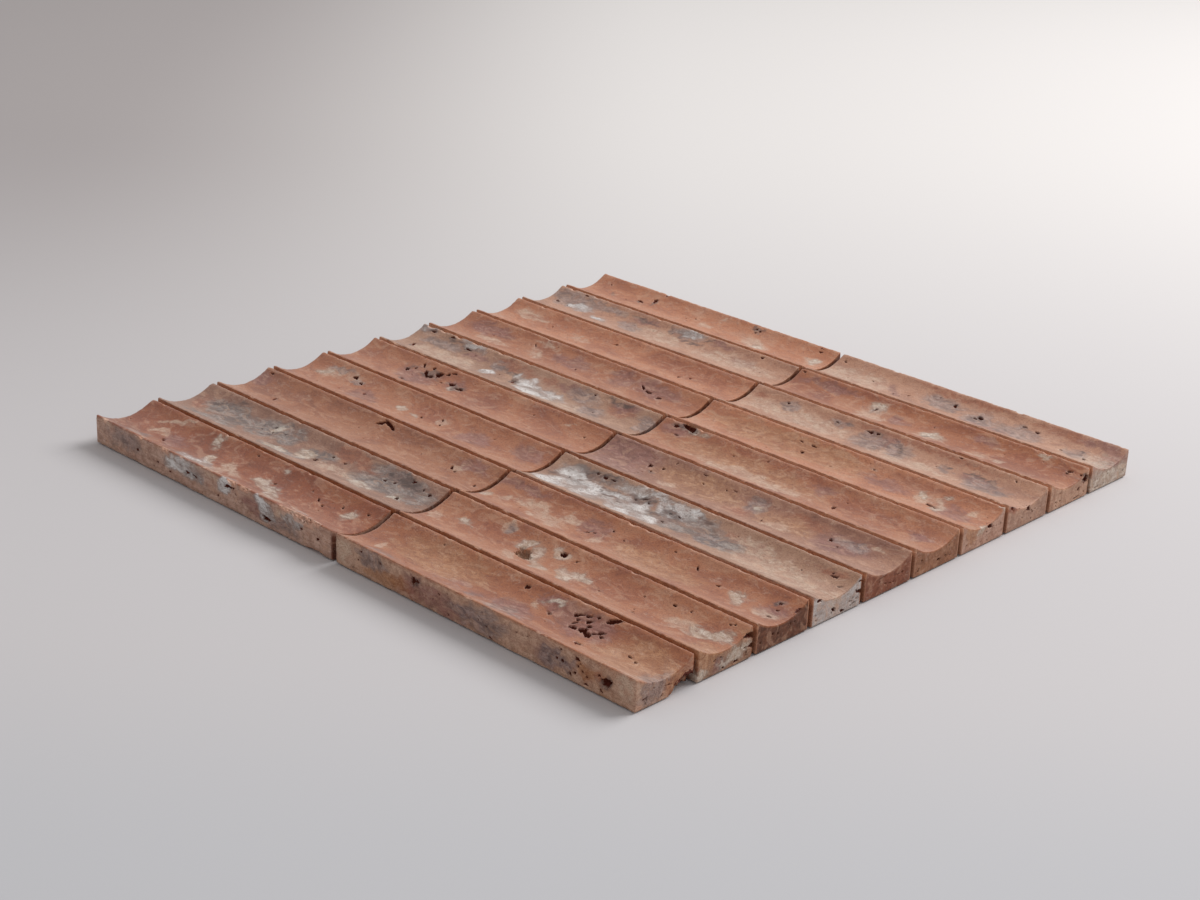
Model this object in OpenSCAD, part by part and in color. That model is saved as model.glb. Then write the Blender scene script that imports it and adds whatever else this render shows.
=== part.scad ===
// Fluted travertine tile. Sawn stone strips, each with one hollow flute ground
// along its face, lie side by side and end to end on a glass-fibre net that
// holds them at an even joint. X runs along the strips, Y across them, and Z up
// from the underside of the net. The origin is the middle of that underside.

/* [Strips] */
// Length of one strip
strip_length = 150; // [90:0.5:200]
// Width of one strip
strip_width = 28.5; // [22:0.1:45]
// Thickness of the stone under its ridges
strip_thickness = 12; // [9:0.1:20]
// Open joint between one strip and the next
joint = 2; // [1:0.1:3]
// Ease of the sawn edges along the strip
arris = 0.3; // [0.1:0.1:0.6]

/* [Flute] */
// Depth of the flute below the ridges
flute_depth = 4.3; // [2:0.1:5]
// Flat land left on the ridge at each side of the flute
ridge_land = 0.9; // [0.5:0.1:2]

/* [Layout] */
// Strips side by side across the tile
columns = 10; // [6:1:12]
// Strips end to end along the tile
rows = 2; // [1:1:3]

/* [Net] */
// Distance from one thread of the net to the next
net_pitch = 10; // [8:0.5:14]
// Width of one thread
thread_width = 1.2; // [0.8:0.1:2]
// Thickness of the net
net_thickness = 0.5; // [0.3:0.1:1]
// Least distance from the tile's edge to the outermost thread's centre
net_margin = 4; // [2:0.5:8]

/* [Breaks] */
// Radius of the shell-shaped break under one corner of the first strip
break_radius = 11.8; // [10:0.1:14]
// Distance of its centre past the strip's end
break_past_end = 7.3; // [6.5:0.1:9]
// Distance of its centre in from the strip's side
break_inset = 2.5; // [1:0.5:4]
// Depth of its centre below the strip
break_drop = 3.2; // [2.8:0.1:5]
// Radius of the flakes lost along the tile's outer edge
flake_radius = 3; // [2:0.1:4]

/* [Hidden] */
$fn = 96;
cut_clearance = 1;
row_names = ["left", "right", "far"];
panel_names = ["left", "middle", "right"];

pitch_along = strip_length + joint;
pitch_across = strip_width + joint;
tile_length = rows * pitch_along - joint;
tile_width = columns * pitch_across - joint;

flute_half = strip_width / 2 - ridge_land;
flute_radius = (flute_half * flute_half + flute_depth * flute_depth) / (2 * flute_depth);
flute_axis_height = strip_thickness - flute_depth + flute_radius;

threads_along = floor((tile_length - 2 * net_margin) / net_pitch) + 1;
threads_across = floor((tile_width - 2 * net_margin) / net_pitch) + 1;
panels = len(panel_names);

// Voids in the flute: row, column, place along, place across, radius, run
// between their round ends, and turn.
flute_voids = [
    [0, 1, 31, 11, 0.8, 2, -30],
    [0, 1, 118.5, 19.5, 0.5, 1.8, -35],
    [0, 2, 86, 14, 1, 0.8, 0],
    [0, 2, 135.5, 13.5, 0.9, 1.2, -20],
    [0, 3, 23.5, 12.5, 0.8, 1.6, -60],
    [0, 3, 78.5, 25, 0.8, 3.6, 35],
    [0, 3, 82, 25.5, 0.9, 3.4, -10],
    [0, 3, 85, 25, 0.9, 1.2, -30],
    [0, 3, 128, 19, 0.7, 1.2, -30],
    [0, 4, 28.5, 23, 0.9, 1.6, 10],
    [0, 4, 34, 21, 0.9, 0, 0],
    [0, 5, 32.5, 19, 1, 0.8, 50],
    [0, 5, 38, 24.5, 0.7, 1.4, -50],
    [0, 5, 39.5, 9.5, 0.8, 2.2, -40],
    [0, 5, 43, 21, 0.9, 3.4, -45],
    [0, 5, 46.5, 20, 1.1, 1.8, 10],
    [0, 5, 49.5, 22.5, 1.6, 0.8, 30],
    [0, 5, 53.5, 24.5, 0.7, 1.2, 40],
    [0, 5, 60.5, 20, 1, 1.8, 0],
    [0, 5, 66, 19, 0.8, 3, 15],
    [0, 6, 9, 13, 0.9, 2, -50],
    [0, 6, 34.5, 24, 0.6, 3.4, -5],
    [0, 7, 117, 21.5, 0.6, 2.8, -30],
    [0, 7, 121.5, 20, 0.7, 3, -15],
    [0, 7, 129, 18.5, 0.7, 1.6, 10],
    [0, 9, 7, 18, 0.9, 0.8, 0],
    [0, 10, 33.5, 18.5, 0.7, 2.2, -15],
    [0, 10, 40, 22, 0.9, 2, 80],
    [1, 1, 101.5, 23, 0.5, 1.8, 40],
    [1, 1, 104.5, 17, 0.5, 2.2, 10],
    [1, 1, 108.5, 18, 0.8, 1.8, 35],
    [1, 1, 111, 17, 0.8, 2, -25],
    [1, 1, 115, 26, 0.8, 2.2, 25],
    [1, 2, 51.5, 15, 2.5, 2.8, -10],
    [1, 2, 64.5, 23, 1.2, 1.4, -10],
    [1, 4, 26, 24.5, 0.8, 0.8, 0],
    [1, 4, 141.5, 23.5, 0.6, 2, 10],
    [1, 5, 26.5, 20, 1, 0.6, 0],
    [1, 6, 8, 25.5, 0.8, 1.6, 0],
    [1, 6, 14.5, 26.5, 1.7, 3.4, -10],
    [1, 6, 100, 14.5, 1.2, 0, 0],
    [1, 7, 57, 18.5, 0.8, 0, 0],
    [1, 7, 58.5, 24, 0.5, 2.4, -10],
    [1, 7, 124, 15, 0.7, 3.2, -10],
    [1, 8, 20.5, 24, 0.7, 0, 0],
    [1, 8, 64.5, 24.5, 0.7, 2, 0],
    [1, 8, 68.5, 24.5, 0.6, 1, 20],
    [1, 9, 144, 23.5, 0.7, 0.8, 20],
    [1, 10, 68, 20.5, 0.8, 0.8, -20],
    [1, 10, 81, 16.5, 0.6, 1.6, -20],
    [1, 10, 83, 18, 1.1, 1, -30],
    [1, 10, 138, 13, 0.7, 1, -40],
];

// Voids in the tile's outer long side: row, place along, height, radius, run
// and turn.
side_voids = [
    [0, 28.5, 5.5, 0.6, 0.8, 20],
    [0, 62, 6.5, 0.6, 2, -5],
    [0, 66.5, 6.5, 0.6, 1.6, -10],
    [0, 88, 9, 0.8, 4.4, 5],
    [0, 111.5, 3.5, 0.8, 3.6, 0],
    [0, 141.5, 5.5, 0.7, 0.6, 10],
    [1, 42.5, 8, 1.2, 0.4, 60],
    [1, 44.5, 8.5, 0.8, 0, 0],
    [1, 116.5, 6, 0.8, 0, 0],
    [1, 123.5, 9, 0.7, 1.2, -15],
    [1, 137, 5.5, 1.8, 0.6, 10],
];

// Voids in the tile's end: column, place across, height, radius, run and turn.
end_voids = [
    [2, 20, 1.5, 0.5, 1.8, 0],
    [2, 27, 8.5, 1.3, 3.4, -10],
    [2, 28, 4.5, 1, 0.4, 0],
    [3, 22.5, 9.5, 0.7, 2.4, 10],
    [4, 4, 9, 0.6, 2.4, -10],
    [4, 13, 3, 1, 0, 0],
    [4, 27.5, 5.5, 1, 1.2, 0],
    [4, 27.5, 9.5, 0.6, 0.8, 0],
    [7, 18.5, 7, 0.9, 1.4, -10],
    [8, 3.5, 9.5, 0.8, 1.8, -10],
    [8, 15, 6.5, 1, 0.4, 10],
    [9, 21.5, 4.5, 0.7, 0.8, 0],
    [9, 26, 8, 1.5, 1.2, -20],
];

// Flakes lost along the tile's outer long side: row, place along, height of the
// edge, depth and run.
flakes = [
    [0, 6.5, strip_thickness, 0.9, 0.5],
    [0, 47, strip_thickness, 0.8, 2.5],
    [0, 90, strip_thickness, 0.8, 3],
    [0, 98, strip_thickness, 1, 2],
    [0, 127, strip_thickness, 1, 12],
    [0, 133.5, strip_thickness, 1.8, 3],
    [0, 139.5, strip_thickness, 0.7, 3],
    [0, 141, 0, 1.1, 6],
];

function strip_name(row, column) = str("strip_", row_names[row], column < 10 ? "_0" : "_", column);
function net_name(panel) = str("net_", panel_names[panel]);

// Height of the flute's surface above the strip's underside.
function flute_height(across) =
    let (offset = across - strip_width / 2)
    abs(offset) >= flute_half
        ? strip_thickness
        : flute_axis_height - sqrt(flute_radius * flute_radius - offset * offset);

// How far the flute's surface leans there.
function flute_lean(across) =
    let (offset = across - strip_width / 2)
    abs(offset) >= flute_half ? 0 : asin(offset / flute_radius);

// Terracotta, paler or greyer by turns from strip to strip.
function stone_colour(row, column) =
    let (shade = (column * 3 + row * 5) % 7)
    shade == 1 ? [0.66, 0.56, 0.50] : [0.70 - 0.012 * shade, 0.47 + 0.006 * shade, 0.37];

// Sawn blank with eased edges, its underside at height zero.
module blank() {
    rotate([90, 0, 90])
        linear_extrude(strip_length)
            polygon([
                [arris, 0],
                [strip_width - arris, 0],
                [strip_width, arris],
                [strip_width, strip_thickness - arris],
                [strip_width - arris, strip_thickness],
                [arris, strip_thickness],
                [0, strip_thickness - arris],
                [0, arris],
            ]);
}

// Round tool that grinds the flute from end to end of the blank.
module flute_cutter() {
    translate([-cut_clearance, strip_width / 2, flute_axis_height])
        rotate([0, 90, 0])
            cylinder(h = strip_length + 2 * cut_clearance, r = flute_radius);
}

// Round-ended slot along X, centred on the surface that it opens in.
module slot_tool(radius, run) {
    if (run == 0) {
        sphere(r = radius);
    } else {
        for (side = [-1, 1])
            translate([side * run / 2, 0, 0]) sphere(r = radius);
        rotate([0, 90, 0])
            cylinder(h = run, r = radius, center = true);
    }
}

module voids_in_strip(row, column) {
    for (v = flute_voids)
        if (v[0] == row && v[1] == column)
            translate([v[2], v[3], flute_height(v[3])])
                rotate([flute_lean(v[3]), 0, 0])
                    rotate([0, 0, v[6]])
                        slot_tool(v[4], v[5]);

    if (column == 1)
        for (v = side_voids)
            if (v[0] == row)
                translate([v[1], 0, v[2]])
                    rotate([0, -v[5], 0])
                        slot_tool(v[3], v[4]);

    if (row == rows - 1)
        for (v = end_voids)
            if (v[0] == column)
                translate([strip_length, v[1], v[2]])
                    rotate([v[5], 0, 90])
                        slot_tool(v[3], v[4]);
}

module breaks_in_strip(row, column) {
    if (row == rows - 1 && column == 1)
        translate([strip_length + break_past_end, strip_width - break_inset, -break_drop])
            sphere(r = break_radius);

    if (column == 1)
        for (f = flakes)
            if (f[0] == row)
                let (stand_off = (flake_radius - f[3]) / sqrt(2))
                translate([f[1], -stand_off, f[2] == 0 ? -stand_off : f[2] + stand_off])
                    slot_tool(flake_radius, f[4]);
}

module strip(row, column) {
    color(stone_colour(row, column))
        translate([
            row * pitch_along - tile_length / 2,
            (column - 1) * pitch_across - tile_width / 2,
            net_thickness,
        ])
            difference() {
                blank();
                flute_cutter();
                voids_in_strip(row, column);
                breaks_in_strip(row, column);
            }
}

// One panel of the net: its share of the threads that run across the strips,
// and the stretch of every lengthwise thread between them.
module net_panel(panel) {
    first = floor(panel * threads_along / panels);
    last = floor((panel + 1) * threads_along / panels) - 1;
    start = thread_x(first) - (panel == 0 ? thread_width : net_pitch) / 2;
    end = thread_x(last) + (panel == panels - 1 ? thread_width : net_pitch) / 2;

    color([0.90, 0.89, 0.84])
        linear_extrude(net_thickness) {
            for (i = [first:last])
                translate([thread_x(i) - thread_width / 2, thread_y(0) - thread_width / 2])
                    square([thread_width, (threads_across - 1) * net_pitch + thread_width]);
            for (j = [0:threads_across - 1])
                translate([start, thread_y(j) - thread_width / 2])
                    square([end - start, thread_width]);
        }
}

function thread_x(i) = (i - (threads_along - 1) / 2) * net_pitch;
function thread_y(j) = (j - (threads_across - 1) / 2) * net_pitch;

for (row = [0:rows - 1], column = [1:columns])
    strip(row, column);
for (panel = [0:panels - 1])
    net_panel(panel);
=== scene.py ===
import math
import random
from functools import partial

import bmesh
import bpy
import numpy as np
from mathutils import Matrix, Vector, kdtree, noise


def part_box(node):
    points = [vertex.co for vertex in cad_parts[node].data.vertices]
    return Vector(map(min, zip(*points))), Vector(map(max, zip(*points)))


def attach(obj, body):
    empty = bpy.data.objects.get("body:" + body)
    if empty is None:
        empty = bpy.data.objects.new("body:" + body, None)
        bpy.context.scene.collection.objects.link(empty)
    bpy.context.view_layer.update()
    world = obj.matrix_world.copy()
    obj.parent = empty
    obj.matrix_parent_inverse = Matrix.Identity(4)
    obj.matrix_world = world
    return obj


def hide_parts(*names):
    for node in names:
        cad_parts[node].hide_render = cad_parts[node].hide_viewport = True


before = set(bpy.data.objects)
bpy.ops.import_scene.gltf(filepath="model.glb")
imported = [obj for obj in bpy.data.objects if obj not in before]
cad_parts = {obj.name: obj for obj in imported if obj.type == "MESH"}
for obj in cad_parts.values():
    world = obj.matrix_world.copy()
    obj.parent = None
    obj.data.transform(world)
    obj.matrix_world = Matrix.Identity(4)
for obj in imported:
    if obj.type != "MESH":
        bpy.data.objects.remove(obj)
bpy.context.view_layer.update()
mm = 0.001
print("frame loaded")


def tone(hexCode):
    # a screen colour such as "B87D60" as the linear colour that shaders take
    channels = [int(hexCode[i:i + 2], 16) / 255 for i in (0, 2, 4)]
    linear = [c / 12.92 if c <= 0.04045 else ((c + 0.055) / 1.055) ** 2.4 for c in channels]
    return (*linear, 1.0)


# The camera stands where the photograph was taken from
camera = {
    "lens": 65.1,
    "azimuth": 42.63,
    "elevation": 22.38,
    "roll": 2.82,
    "sensor": 36,
    "distance": 0.895,
    "aim": (-0.002, -0.008, 0.006),
}


def placeCamera():
    azimuth, elevation = math.radians(camera["azimuth"]), math.radians(camera["elevation"])
    outward = Vector((
        math.sin(azimuth) * math.cos(elevation),
        -math.cos(azimuth) * math.cos(elevation),
        math.sin(elevation),
    ))
    roll = Matrix.Rotation(math.radians(camera["roll"]), 3, "Z")
    turn = outward.to_track_quat("Z", "Y").to_matrix() @ roll
    data = bpy.data.cameras.new("camera")
    data.lens = camera["lens"]
    data.sensor_width = camera["sensor"]
    data.clip_start = 0.01
    eye = bpy.data.objects.new("camera", data)
    standpoint = Vector(camera["aim"]) + outward * camera["distance"]
    eye.matrix_world = Matrix.Translation(standpoint) @ turn.to_4x4()
    bpy.context.scene.collection.objects.link(eye)
    bpy.context.scene.camera = eye


placeCamera()
print("camera placed")


# One strip in millimetres: its outer sizes are the frame's, and the slices set how fine its mesh is
blank = {
    "fluteDepth": 4.3,
    "ridgeLand": 0.9,
    "arris": 0.3,
    "sliceAlong": 0.85,
    "sliceAcross": 0.85,
    "sliceUp": 1.1,
    "fineMargins": (0.7, 0.3),
}
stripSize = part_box("strip_left_02")[1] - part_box("strip_left_02")[0]
stripLength, stripWidth, stripThickness = (round(side / mm, 2) for side in stripSize)
fluteHalf = stripWidth / 2 - blank["ridgeLand"]
fluteRadius = (fluteHalf ** 2 + blank["fluteDepth"] ** 2) / (2 * blank["fluteDepth"])


def fluteHeight(across):
    # height of the worked face above the underside
    offset = np.minimum(np.abs(np.asarray(across, float) - stripWidth / 2), fluteHalf)
    return stripThickness - blank["fluteDepth"] + fluteRadius - np.sqrt(fluteRadius ** 2 - offset ** 2)


def cutAt(bm, place, normal):
    everything = bm.verts[:] + bm.edges[:] + bm.faces[:]
    bmesh.ops.bisect_plane(bm, geom=everything, dist=1e-4, plane_co=place, plane_no=normal)


def evenCuts(start, end, step):
    count = round((end - start) / step)
    return [start + (end - start) * i / count for i in range(count + 1)]


def makeBlank():
    arris = blank["arris"]
    bm = bmesh.new()
    bmesh.ops.create_cube(bm, size=1)
    bmesh.ops.translate(bm, verts=bm.verts, vec=(0.5, 0.5, 0.5))
    bmesh.ops.scale(bm, verts=bm.verts, vec=(stripLength, stripWidth, stripThickness))
    bmesh.ops.bevel(
        bm, geom=bm.edges[:], offset=arris, segments=2, profile=0.5, material=-1, affect="EDGES"
    )
    land = blank["ridgeLand"]
    for across in evenCuts(land, stripWidth - land, blank["sliceAcross"]):
        cutAt(bm, (0, across, 0), (0, 1, 0))
    for height in evenCuts(arris, stripThickness - arris, blank["sliceUp"])[1:-1]:
        cutAt(bm, (0, 0, height), (0, 0, 1))
    lengthwise = [e for e in bm.edges if abs(e.verts[0].co.x - e.verts[1].co.x) > stripLength / 2]
    slices = round(stripLength / blank["sliceAlong"])
    bmesh.ops.subdivide_edges(bm, edges=lengthwise, cuts=slices, use_grid_fill=True)
    # the flute: every height shrinks in step with the worked face above it
    for vert in bm.verts:
        vert.co.z *= float(fluteHeight(vert.co.y)) / stripThickness
    mesh = bpy.data.meshes.new("blank")
    bm.to_mesh(mesh)
    bm.free()
    return mesh


blankMesh = makeBlank()
print("blank cut:", len(blankMesh.polygons), "faces")


# Marks on each strip, in millimetres and degrees. A mark is (along, across, half length, half width,
# tilt) on the top, (along, height, ...) on a side and (across, height, ...) on an end, and the list's
# name says which if it isn't the top. A patch may leave out a tilt of 0. A pit has its depth after the
# tilt, and may have how dark it is inside, from its own dark colour and painted shade. A chip is
# (along, length, depth) on one of the long edges.
# A strip's sawn colour is partly its own and partly painted light and shade: each was set for how bright its
# side or end shows in the light, so the ends of the far right strips are paler
looks = {}
looks["left_01"] = dict(
    ground="russet",
    sawn="CEAC9A",
    rust=[(9, 20, 10, 8), (62, 21, 9, 6), (130, 12, 20, 9), (85, 22, 8, 5)],
    calcite=[
        (51.5, 24, 3, 4.5, 10), (90, 15, 5, 3.5, -20), (101, 10.5, 9, 3.2, -25), (60, 12.5, 5, 2.5, -35),
        (93, 24.3, 2, 1.2), (138, 18.5, 3, 4, -30),
    ],
    marbleSide=[
        (59, 7.6, 13, 3.8), (85, 8.5, 4.5, 3.2), (110, 7.6, 6.5, 3, -12), (127, 8, 6, 2), (114, 4, 3, 2),
    ],
    cream=[(24, 24, 10, 1.4, 22), (22, 16, 5, 2, 10), (74, 12, 9, 3, -25), (108, 5, 8, 3)],
    creamSide=[(72, 10, 16, 1.4), (7, 10.5, 3, 1.5), (120, 8, 8, 2, 10)],
    greySide=[(66, 6.5, 9, 1.6, -6), (120, 4, 12, 3), (20, 7, 12, 4)],
    mauve=[(98, 14.5, 3, 3), (35, 13, 9, 5, -30)],
    mauveSide=[(105, 6, 10, 4)],
    pits=[
        (74, 25.6, 0.9, 0.4, 10, 0.6), (95, 17, 0.9, 0.6, 0, 0.8), (118.5, 19.5, 1.4, 0.5, -35, 0.9),
        (123, 17.5, 0.9, 0.5, -20, 0.7), (131, 21, 0.8, 0.6, 0, 0.8), (143.5, 23, 0.8, 0.6, 0, 0.9),
        (31, 11, 1.8, 0.9, -30, 0.6), (125, 14, 0.5, 0.4, 0, 0.5), (112, 22, 0.5, 0.4, 0, 0.5),
    ],
    pitsSide=[
        (28.5, 5.5, 1, 0.6, 20, 1), (42, 4.6, 0.9, 0.5, 0, 0.8), (62, 6.6, 1.6, 0.6, -5, 1),
        (66.5, 6.3, 1.4, 0.6, -10, 1), (88, 9, 3, 0.8, 5, 1.2), (111.5, 3.6, 2.6, 0.8, 0, 1.8),
        (141.5, 5.6, 0.9, 0.6, 10, 1.2), (50, 3, 0.7, 0.5, 0, 0.7), (132, 6.5, 1, 0.5, 0, 0.6),
    ],
    chipsNear=[
        (6.5, 3, 1.3), (31, 3, 1), (47, 6, 1.2), (58, 3, 0.7), (90, 7, 1.4), (98, 6, 1.5), (128, 20, 1.5),
        (133.5, 13, 2.8), (140, 7, 1.2), (120, 4, 0.8),
    ],
    chipsFar=[(52, 3, 0.5), (104, 3, 0.5)],
    chipsFoot=[(141, 11, 1)],
)
looks["left_02"] = dict(
    ground="umber",
    rust=[(98, 24, 10, 3.5), (8, 17, 6, 5), (110, 21, 6, 3)],
    calcite=[
        (80, 14, 6, 3.4, -20), (53, 21, 2.4, 2.8), (135.5, 13.5, 3, 2.6), (66, 9, 7, 3), (116, 10, 8, 3),
    ],
    cream=[(100, 13, 12, 3)],
    slate=[
        (24, 9, 16, 4), (70, 9, 14, 3), (32, 17, 12, 6, 12), (48, 18, 9, 7, 10), (62, 19, 9, 5, 10),
        (85, 18, 9, 4), (128, 22.5, 18, 5, -4), (120, 16, 14, 5), (136, 18, 14, 7), (56, 22, 12, 5, 8),
        (22, 20, 15, 5, 5),
    ],
    stain=[
        (15, 21, 8, 1, 30), (25, 25.5, 5, 1.2, 10), (130, 23, 13, 3, -8), (52, 16, 6, 1, 25),
        (28, 20, 5, 0.8, 25),
    ],
    pits=[
        (86, 14, 1.3, 0.9, 0, 1), (121, 20.3, 0.9, 0.6, 0, 0.8), (126, 21, 0.9, 0.6, 0, 0.8),
        (133, 25, 1.2, 0.6, 20, 0.9), (144.5, 22.5, 1, 0.7, 0, 1), (135.5, 13.5, 1.5, 0.9, -20, 1.2),
        (90, 20, 0.8, 0.5, 0, 0.7), (98, 19.5, 0.8, 0.5, 0, 0.7), (52, 21.5, 0.6, 0.5, 0, 0.6),
        (53.5, 18.5, 0.6, 0.5, 0, 0.6), (140, 23.5, 0.7, 0.5, 0, 0.7),
    ],
    chipsFar=[(60, 3, 0.5), (130, 4, 0.5)],
)
looks["left_03"] = dict(
    ground="brown",
    cream=[(130, 21, 3, 1.4)],
    mauve=[(4, 22, 5, 5), (136, 24, 8, 3)],
    pits=[
        (78.5, 25.3, 2.6, 0.8, 35, 1.4), (82, 26, 2.6, 0.9, -12, 1.6), (85.2, 25, 1.5, 0.9, -30, 1.4),
        (23.5, 12.5, 1.6, 0.8, -60, 0.7), (5.5, 26, 1.1, 0.5, 0, 0.7), (128, 18.8, 1.3, 0.7, -30, 1),
        (131, 17.4, 0.8, 0.5, -20, 0.8), (146, 14, 1, 0.7, -40, 0.8),
    ],
    chipsNear=[(24, 4, 0.4)],
)
looks["left_04"] = dict(
    ground="terracotta",
    calcite=[(66, 17, 4, 1.8, -25), (74, 15.5, 2.5, 1.4, -20), (12, 19, 4, 1.6, 30)],
    cream=[(16, 21, 9, 3.5, 25), (28.7, 22.8, 4.5, 3.2), (90, 19.5, 4, 2.4, -20)],
    grey=[(18, 23.5, 8, 2, 10), (33, 21, 4, 2)],
    mauve=[(45, 13, 9, 6), (112, 15, 8, 6), (138, 20, 9, 6)],
    rust=[(80, 20, 10, 5)],
    pits=[
        (28.7, 22.8, 1.7, 0.9, 10, 1.2), (34.2, 21, 1.1, 0.7, 0, 0.9), (79, 16, 0.9, 0.6, -30, 0.8),
        (88.5, 19.6, 1, 0.5, -30, 0.8), (90.5, 16, 0.8, 0.5, -30, 0.7), (43, 15.5, 1.2, 0.8, 0, 0.5),
    ],
)
looks["left_05"] = dict(
    ground="terracotta",
    mauve=[(40, 16, 12, 7, -20), (40, 9.5, 5, 2, -40), (62, 20, 6, 4)],
    calcite=[(62, 17.6, 2.2, 1.3, -20)],
    cream=[(127, 23.5, 5, 0.9, 20)],
    stain=[(46, 22, 6, 3, -10), (63, 19.5, 6, 1.6), (40, 9.5, 4, 1.2, -40), (34, 20.5, 3, 1.2, 50)],
    pits=[
        (32.5, 19, 1.3, 1, 50, 1.4), (37.8, 24.5, 1.4, 0.7, -50, 1), (44, 24.8, 1, 0.7, 0, 0.9),
        (43, 20.8, 2.6, 0.9, -45, 1.6), (46.5, 19.8, 1.8, 1, 10, 1.6), (49.6, 22.6, 1.9, 1.5, 30, 2.2),
        (53.5, 24.6, 1.3, 0.7, 40, 1), (56, 26, 1.4, 0.5, 20, 0.7), (54.8, 19, 0.7, 0.5, 0, 0.7),
        (60.5, 20.2, 1.9, 1, 0, 1.5), (66, 19.2, 2.3, 0.8, 15, 1.1), (39.5, 9.6, 1.9, 0.8, -40, 0.7),
        (35.5, 21.5, 0.8, 0.5, 50, 0.8), (140.5, 20.8, 0.7, 0.5, 0, 0.7),
    ],
)
looks["left_06"] = dict(
    ground="sand",
    marble=[
        (57, 14, 3, 4.5, -40), (75, 19.5, 5, 2.6), (88, 14.5, 16, 5.5, -6), (35, 26.5, 6, 2.4), (5, 27, 5, 2),
    ],
    cream=[(30, 12, 22, 6), (110, 10, 20, 5)],
    grey=[
        (4, 26.5, 8, 3), (36, 25.5, 8, 3, -5), (57, 21, 5, 3), (110, 22, 9, 5), (121, 15, 8, 4),
        (147, 20, 5, 5), (20, 21, 14, 3), (79, 18, 3, 2),
    ],
    stain=[
        (34.5, 23.6, 5, 0.8, -5), (73, 15, 2.4, 3, 20), (9, 26, 2.4, 1.2), (24, 25.5, 8, 1),
        (9, 13, 3, 1.6, -50), (66, 21, 6, 1, -10), (128, 26, 8, 1.4),
    ],
    rust=[(88, 23.5, 9, 1.8), (66, 24, 12, 3), (132, 22, 8, 4)],
    mauve=[(42, 21, 8, 3), (100, 24, 8, 3), (132, 25, 8, 3)],
    pits=[
        (34.5, 23.9, 2.2, 0.5, -5, 0.8), (9, 13.2, 1.9, 0.9, -50, 0.8), (9, 26, 1.2, 0.7, 0, 0.9),
        (21, 26.6, 1.2, 0.6, 0, 0.8), (73, 14.6, 1.4, 1.6, 0, 0.5), (113, 25.4, 0.8, 0.5, 0, 0.7),
    ],
    chipsFar=[(5, 6, 0.9), (14, 4, 0.7), (24, 5, 0.8), (36, 6, 0.7), (52, 4, 0.6), (70, 5, 0.5)],
    chipsNear=[(12, 5, 0.8), (30, 4, 0.5)],
)
looks["left_07"] = dict(
    ground="terracotta",
    mauve=[(105, 21, 8, 6), (125, 22, 14, 5), (20, 22, 14, 4), (75, 20, 14, 5)],
    cream=[(53, 18, 8, 3, -40), (57, 24.5, 5, 1.6, -10), (52, 26, 4, 1.2), (27, 15, 10, 3)],
    pits=[
        (117, 21.4, 2, 0.6, -32, 1.1), (121.5, 19.8, 2.2, 0.7, -15, 1.2), (129, 18.4, 1.5, 0.7, 10, 1.1),
        (48.5, 22.4, 1.2, 0.4, -40, 0.5), (80, 16.5, 1, 0.5, -40, 0.5),
    ],
    chipsFar=[(52, 5, 0.5)],
)
looks["left_08"] = dict(
    ground="apricot",
    cream=[(16, 21, 10, 3.6), (52, 17, 6, 2)],
    rust=[(120, 22, 26, 6)],
    pits=[(116, 15.4, 1.1, 0.6, 0, 0.6), (71.5, 22, 0.9, 0.5, 0, 0.6), (121, 17.5, 0.7, 0.5, 0, 0.5)],
    chipsFar=[(18, 4, 0.6)],
)
looks["left_09"] = dict(
    ground="rose",
    grey=[(15, 22, 17, 6), (86, 25.5, 11, 4), (35, 24, 12, 3), (56, 17, 8, 4)],
    marble=[(22, 18, 9, 3), (87, 26, 8, 2.6), (38, 15, 5, 2.5)],
    cream=[(75, 17, 20, 5), (120, 17, 24, 6)],
    stain=[(90, 21.6, 9, 0.7, -4), (77, 24.5, 4, 0.8, -40), (60, 24.4, 9, 1, -5), (99, 24, 3, 0.8, 50)],
    mauve=[(62, 24, 9, 2), (125, 19, 9, 4), (108, 26, 9, 2)],
    pits=[(7, 17.9, 1.3, 0.8, 0, 1), (130, 26.4, 1.1, 0.5, 0, 0.7), (18, 27, 1.2, 0.5, 0, 0.6)],
    chipsFar=[(8, 4, 0.7), (24, 4, 0.6), (66, 4, 0.6)],
)
looks["left_10"] = dict(
    ground="apricot",
    cream=[(110, 15, 10, 5, -20), (142.5, 17, 5, 3, -20), (82, 24, 2.4, 1.4), (78, 16, 5, 3)],
    calcite=[(112, 13.5, 4, 2, -30), (143, 17, 2.6, 1.8, -30)],
    stain=[(40, 21.6, 1.5, 2.6, 20), (33.5, 18.6, 2.6, 0.9, -15), (17, 18, 1.2, 2.2, 30), (103, 25, 3, 1.6)],
    pits=[
        (43, 27.3, 1, 0.6, 0, 0.8), (40, 22, 1, 1.9, 20, 0.8), (33.5, 18.6, 1.8, 0.7, -15, 0.7),
        (102, 25.5, 0.8, 0.5, 30, 0.8), (104.5, 25, 0.8, 0.5, 0, 0.8), (103, 23.6, 0.7, 0.5, 0, 0.8),
        (141, 25, 1, 0.6, 0, 0.7),
    ],
    chipsFar=[(43, 3, 0.6)],
)
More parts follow.
